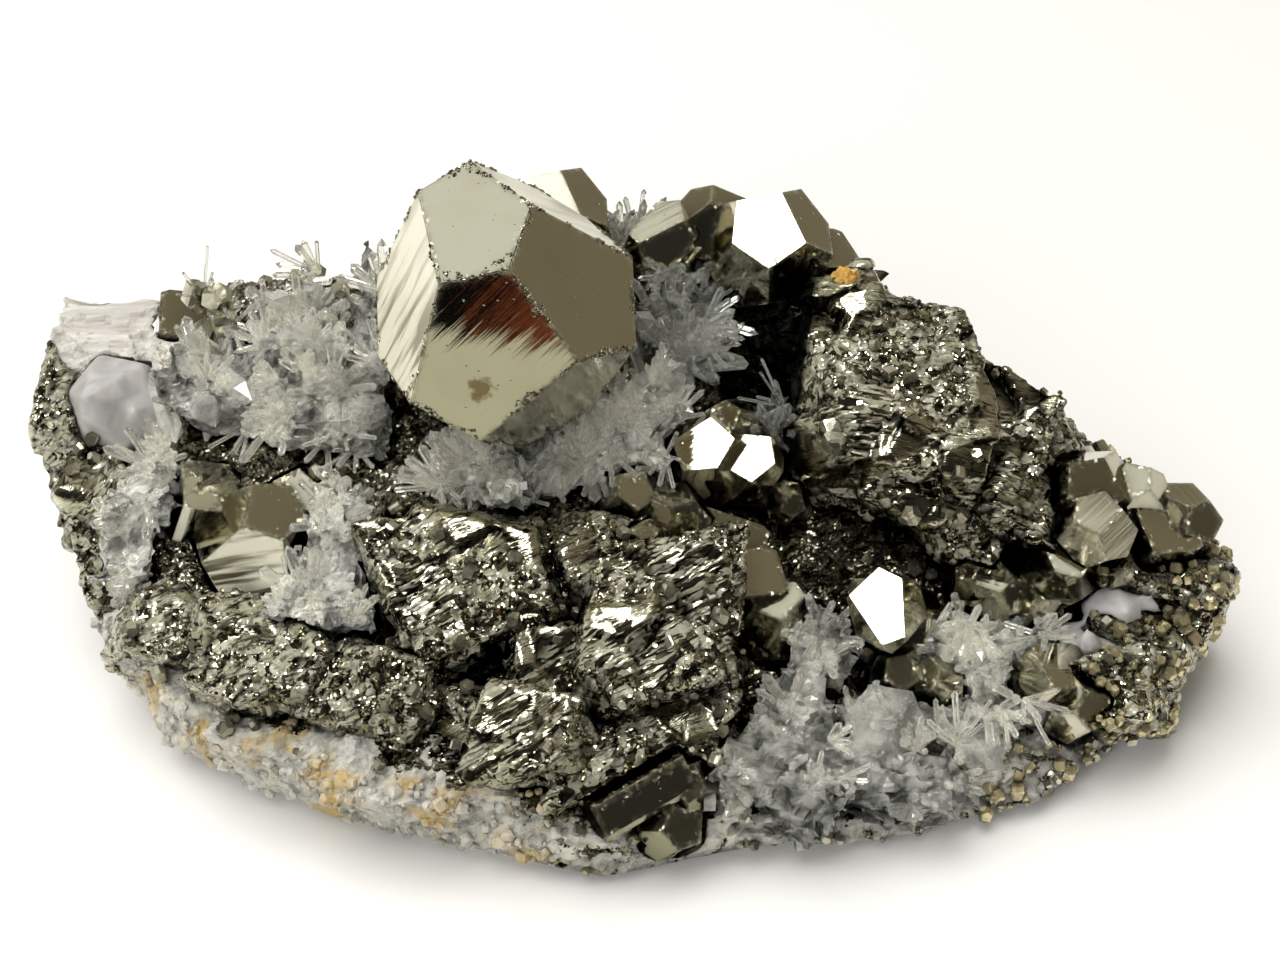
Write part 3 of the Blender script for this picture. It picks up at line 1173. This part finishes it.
# Stout clear prisms: foot, tip, width, how flat (laid out in millimetres).
STOUT_PRISMS = (
    ((-53, 9, 37.5), (-40, 8, 38.5), 3.4, 1.0),
    ((-35.5, 8, 31), (-34, 0, 42.5), 5.4, 1.5),
    ((-37, 0, 29), (-36, -6.5, 38), 5.4, 1.4),
    ((-64, 10, 34), (-57.5, -2, 31), 4.6, 1.0),
    ((-60, 11, 32), (-52.5, 0, 34), 3.8, 1.0),
    ((-68, 9, 31), (-63, -3, 29), 3.4, 1.0),
    ((-48, 20, 36), (-50, 10, 43.5), 3.6, 1.1),
    ((-42, 12, 34), (-46, 4, 43), 3.2, 1.0),
    ((-12, -8, 25), (-10.5, -13.5, 33.5), 6.4, 1.2),
    ((-17.5, -9, 24), (-17, -14.5, 32.5), 6.0, 1.0),
    ((-23.5, -8, 24), (-25, -13, 31.5), 5.2, 1.0),
    ((-20, -6, 26), (-21, -9, 34.5), 4.4, 1.0),
    ((-4, 1, 30), (-6, -6, 39), 3.4, 1.0),
    ((3, 13, 35), (0, 6, 43.5), 3.6, 1.2),
    ((31, -34, 5), (31.5, -42.5, 16.5), 11.0, 1.0),
    ((22, -40, 4), (19, -47.5, 12), 7.0, 1.2),
    ((42, -36, 4), (44, -43, 11.5), 7.0, 1.1),
    ((49, -30, 6), (52, -37, 12.5), 5.5, 1.1),
)


class SPECIMEN_OT_quartz_needles(bpy.types.Operator):
    """Grows the quartz sprays on their cloudy bases"""
    bl_idname = "specimen.quartz_needles"
    bl_label = "Quartz needles"

    def execute(self, context):
        sizes, colours = context.scene.specimen_sizes, context.scene.specimen_colours
        clear = clear_quartz("quartz_needles_clear", colours.quartz, 0.9, 0.03)
        smoky = clear_quartz("quartz_needles_smoky", linear("#C6C6BE"), 0.9, 0.03)
        others = solid_tree([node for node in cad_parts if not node.startswith("quartz")])
        chance = random.Random(71)
        # The sprays over the black vug are smoky.
        rows, over_vugs = [], []
        for foot, aim, count, reach, thick, spread in LARGE_SPRAYS:
            group = over_vugs if foot[0] > 0 and foot[1] > -3 else rows
            group += burst(Vector(LAYOUT) + Vector(foot), aim, count, reach, thick, spread,
                           chance)
        show_needles("quartz_needles_large", stop_at(others, rows, 2.0), 81, clear)
        show_needles("quartz_needles_over_vugs", stop_at(others, over_vugs, 2.0), 82, smoky)
        show_prisms()
        base = sugary_quartz("quartz_sugary_base", linear("#A4A49C"), linear("#55564F"))
        lumps = sugary_quartz("quartz_grey_lumps", linear("#B2B2AA"), linear("#50514B"))
        glassy = sugary_quartz("quartz_glassy_base", linear("#66665E"), linear("#20201C"))
        white = sugary_quartz("quartz_white_base", linear("#DEDED6"), linear("#8A8A82"))
        finishes = {"quartz_mass_front": lumps, "quartz_column_left": white,
                    "quartz_patch": white, "quartz_cluster_centre": white,
                    "quartz_cluster_upper": glassy, "quartz_cluster_pocket": glassy,
                    "quartz_cluster_back": glassy}
        for order, node in enumerate(CLEAR_QUARTZ):
            finish = finishes.get(node, base)
            mesh = even_net(node, BASE_NET)
            push(mesh, base_relief(node))
            show_mesh(node + "_base", mesh, finish, (node,))
            rows = small_sprays(node, 500 + order, sizes, chance)
            show_needles(node + "_needles", stop_at(others, rows, 1.5), 600 + order,
                         smoky if finish == glassy else clear)
        return {"FINISHED"}


def show_needles(name, rows, seed, material):
    """One piece of many needles from rows of (foot, tip, width)."""
    feet, tips, widths = zip(*rows)
    points, faces = needles(feet, tips, widths, seed)
    show(name, points, faces, material, "quartz_clear")


def show_prisms():
    """The stout prisms, as one piece."""
    stout = clear_quartz("quartz_prisms_clear", linear("#CFCEC4"), 0.72, 0.05)
    points, faces = [], []
    for order, (foot, tip, thick, flat) in enumerate(STOUT_PRISMS):
        prism, sides = needles([foot + LAYOUT], [tip + LAYOUT], [thick], 90 + order, flat)
        faces += [[len(points) + i for i in side] for side in sides]
        points += list(prism)
    show("quartz_prisms_stout", points, faces, stout, "quartz_clear")


def base_relief(node):
    """The relief of a spray's base: grown-together crystals, larger on the front mass. It is
    sunk by 1.3 mm, because the needles reach out from it."""
    width, fineness = (3.4, 0.15) if node == LUMPY else (2.2, 0.4)

    def relief(place):
        return (0.7 * grains(place, width)[0]
                + fineness * grains(place, 1.0, (11, 5, 2))[0] - 1.3,)
    return relief


def small_sprays(node, seed, sizes, chance):
    """Needles in small sprays all over a solid of quartz: fewer of them on the front mass."""
    width, length = sizes.needle_width / MM, sizes.needle_length / MM
    low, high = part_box(node)
    spread = (high - low) / MM
    per_square_mm = 0.035 if node == LUMPY else 0.10
    count = int(per_square_mm * spread.x * max(spread.y, spread.z))
    longest = 1.0 if node in SHORT_NEEDLES else 1.6
    rows = []
    for place, normal in open_spots((node,), count, seed,
                                    lambda x, y, z, normal: normal[2] > -0.5, 1.2):
        foot = Vector(place - normal * 0.5 * length)
        aim = Vector(normal) + Vector((0, -0.2, 0.5))
        rows += burst(foot, aim, chance.randint(4, 9), length * chance.uniform(0.7, longest),
                      width * chance.uniform(0.6, 1.8), 52, chance)
    return rows


class SPECIMEN_OT_milky_quartz(bpy.types.Operator):
    """Clouds the milky, lilac and fibrous quartz"""
    bl_idname = "specimen.milky_quartz"
    bl_label = "Milky quartz"

    def execute(self, context):
        colours = context.scene.specimen_colours
        milky = milky_quartz(colours)
        for node, passes in (("quartz_crystal_milky", 5), ("quartz_crystals_lilac", 2)):
            mesh = rounded(even_net(node, MILKY_NET), passes)
            show_mesh(node + "_cloudy", mesh, milky, (node,))
        mesh = even_net("quartz_block_fibrous", MILKY_NET)
        push(mesh, fibrous_relief)
        show_mesh("quartz_block_fibrous_silky", mesh, fibrous_quartz(colours),
                  ("quartz_block_fibrous",))
        return {"FINISHED"}


def fibrous_relief(place):
    """Soft ridges along the fibres, and shallow steps across them."""
    stretched = Vector((place.x * 0.07, place.y * 0.4, place.z * 0.5))
    step = leaves(place, Vector((0.12, -0.5, 0.85)).normalized(), 2.5)[0]
    return (1.1 * noise.fractal(stretched, 0.9, 2.0, 4) + 0.15 * step - 0.4,)


# ------------------------------------------------------------------ studio

# Cards that lie on the sheet round the specimen, where only its mirror faces see them: near and
# far corner, height above the sheet and colour, in metres.
CARDS = {
    "card_dark": ((-0.30, -0.50), (-0.055, -0.125), 0.0005, "#0A0A0A"),
    "card_brown": ((-0.055, -0.50), (0.20, -0.125), 0.0005, "#5A3020"),
    "card_bar": ((-0.052, -0.50), (-0.049, -0.1255), 0.0008, "#0A0A0A"),
    "card_cream": ((-0.14, -0.125), (0.02, -0.04), 0.0005, "#B0B0A1"),
}
# One small softbox that only the mirror faces see, and two broad soft ones that light only the
# matt surfaces and the sheet: place, size, watts, what it is aimed at, whether mirrors see it.
SOFTBOXES = {
    "softbox_small": ((-0.07, -0.025, 0.50), (0.19, 0.10), 0.8, (-0.07, -0.025, 0.0), True),
    "softbox_broad": ((-0.25, 0.15, 0.9), (1.2, 1.0), 11.0, (0, 0, 0.02), False),
    "softbox_fill": ((-0.35, -0.8, 0.5), (0.8, 0.5), 5.2, (0, 0, 0.01), False),
}


def lay_board(name, size, material):
    """A flat square on the ground, as stage."""
    bpy.ops.mesh.primitive_plane_add(size=size)
    board = bpy.context.object
    board.name = name
    board.data.materials.append(material)
    return board


def aimed(thing, name, place, target):
    """A lamp or a camera that stands at a place and looks at a target."""
    holder = bpy.data.objects.new(name, thing)
    bpy.context.scene.collection.objects.link(holder)
    holder.location = place
    aim = Vector(target) - Vector(place)
    holder.rotation_euler = aim.to_track_quat("-Z", "Y").to_euler()
    return holder


def furnish_room(world):
    """The room round the stage: olive walls that darken behind the camera, with a lit patch of
    ceiling."""
    world.use_nodes = True
    tree = world.node_tree
    tree.nodes.clear()
    way = add(tree, "ShaderNodeTexCoord").outputs["Generated"]
    front = add(tree, "ShaderNodeMapRange", {
        "Value": add(tree, "ShaderNodeSeparateXYZ", {0: way}).outputs["Y"],
        "From Min": 0.0, "From Max": -0.6}, interpolation_type="SMOOTHSTEP")
    walls = add(tree, "ShaderNodeMix", {
        "Factor": front.outputs[0], 6: (*linear("#7C7463"), 1), 7: (*linear("#302F2B"), 1)},
        data_type="RGBA")
    # The patch is bounded by the line of the camera on one side and of the wall behind it on
    # the other.
    edges = []
    for across in ((-0.5, -1.0, 0.45), (0.0, 1.0, -0.08)):
        side = add(tree, "ShaderNodeVectorMath", {0: way, 1: Vector(across).normalized()},
                   operation="DOT_PRODUCT")
        edges.append(add(tree, "ShaderNodeMapRange", {
            "Value": side.outputs["Value"], "From Min": 0.0, "From Max": 0.06},
            interpolation_type="SMOOTHSTEP"))
    lit = add(tree, "ShaderNodeMath", {0: edges[0].outputs[0], 1: edges[1].outputs[0]},
              operation="MULTIPLY")
    # A paler patch of the wall behind, which level faces mirror to the camera.
    behind = add(tree, "ShaderNodeVectorMath", {0: way, 1: Vector((0.12, 0.76, 0.64))},
                 operation="DOT_PRODUCT")
    pale = add(tree, "ShaderNodeMapRange", {
        "Value": behind.outputs["Value"], "From Min": 0.925, "From Max": 0.975},
        interpolation_type="SMOOTHSTEP")
    wall = add(tree, "ShaderNodeMix", {
        "Factor": pale.outputs[0], 6: walls.outputs[2], 7: (*linear("#BCBAAD"), 1)},
        data_type="RGBA")
    room = add(tree, "ShaderNodeMix", {
        "Factor": lit.outputs[0], 6: wall.outputs[2], 7: (*linear("#EBECE8"), 1)},
        data_type="RGBA")
    # What is seen through clear crystals is the bright side of the room.
    through = add(tree, "ShaderNodeMix", {
        "Factor": add(tree, "ShaderNodeLightPath").outputs["Is Transmission Ray"],
        6: room.outputs[2], 7: (*linear("#BCBCB8"), 1)}, data_type="RGBA")
    light = add(tree, "ShaderNodeBackground", {"Color": through.outputs[2], "Strength": 1.0})
    add(tree, "ShaderNodeOutputWorld", {"Surface": light.outputs[0]})


class SPECIMEN_OT_studio(bpy.types.Operator):
    """Lays a pale sheet under the specimen and sets the lamps and the camera"""
    bl_idname = "specimen.studio"
    bl_label = "Studio"

    def execute(self, context):
        scene = context.scene
        scene.view_settings.view_transform = "Standard"
        lay_board("pale_sheet", 6, new_material(
            "paper_sheet_coated", Roughness=0.35, Base_Color=(*linear("#F6F5F2"), 1))[0])
        for name, (low, high, lift, shade) in CARDS.items():
            card = lay_board(name, 1, new_material(
                name + "_board", Roughness=0.9, Base_Color=(*linear(shade), 1),
                Specular_IOR_Level=0.0)[0])
            card.location = ((low[0] + high[0]) / 2, (low[1] + high[1]) / 2, lift)
            card.scale = (high[0] - low[0], high[1] - low[1], 1)
            card.visible_camera = False
            card.visible_diffuse = False
            card.visible_shadow = False
            card.visible_transmission = False
        for name, (place, size, watts, target, mirrored) in SOFTBOXES.items():
            lamp = bpy.data.lights.new(name, "AREA")
            lamp.shape = "RECTANGLE"
            lamp.size, lamp.size_y = size
            lamp.energy = watts
            holder = aimed(lamp, name, place, target)
            holder.visible_glossy = mirrored
            holder.visible_diffuse = not mirrored
        scene.world = bpy.data.worlds.new("studio_room")
        furnish_room(scene.world)
        eye = bpy.data.cameras.new("camera")
        eye.lens = 57
        eye.sensor_width = 36
        eye.clip_start = 0.01
        scene.camera = aimed(eye, "camera", Vector(LAYOUT + VIEWPOINT) * MM,
                             Vector(LAYOUT + CAMERA_TARGET) * MM)
        return {"FINISHED"}


# ------------------------------------------------------------------ panel and running

OPERATORS = (
    SPECIMEN_OT_studio,
    SPECIMEN_OT_pyrite_crystals,
    SPECIMEN_OT_massive_pyrite,
    SPECIMEN_OT_matrix_rock,
    SPECIMEN_OT_strewn_pyrite,
    SPECIMEN_OT_quartz_needles,
    SPECIMEN_OT_milky_quartz,
)


class SPECIMEN_PT_panel(bpy.types.Panel):
    """Lists the specimen's parts with their sizes and colours"""
    bl_label = "Specimen"
    bl_space_type = "VIEW_3D"
    bl_region_type = "UI"
    bl_category = "Specimen"

    def draw(self, context):
        for group in (context.scene.specimen_sizes, context.scene.specimen_colours):
            for name in group.__annotations__:
                self.layout.prop(group, name)
        for operator in OPERATORS:
            self.layout.operator(operator.bl_idname)


CLASSES = (SpecimenSizes, SpecimenColours, SPECIMEN_PT_panel) + OPERATORS


def register():
    for item in CLASSES:
        bpy.utils.register_class(item)
    bpy.types.Scene.specimen_sizes = bpy.props.PointerProperty(type=SpecimenSizes)
    bpy.types.Scene.specimen_colours = bpy.props.PointerProperty(type=SpecimenColours)


def unregister():
    del bpy.types.Scene.specimen_colours
    del bpy.types.Scene.specimen_sizes
    for item in reversed(CLASSES):
        bpy.utils.unregister_class(item)


def main():
    register()
    for operator in OPERATORS:
        family, name = operator.bl_idname.split(".")
        getattr(getattr(bpy.ops, family), name)()


if __name__ == "__main__":
    main()
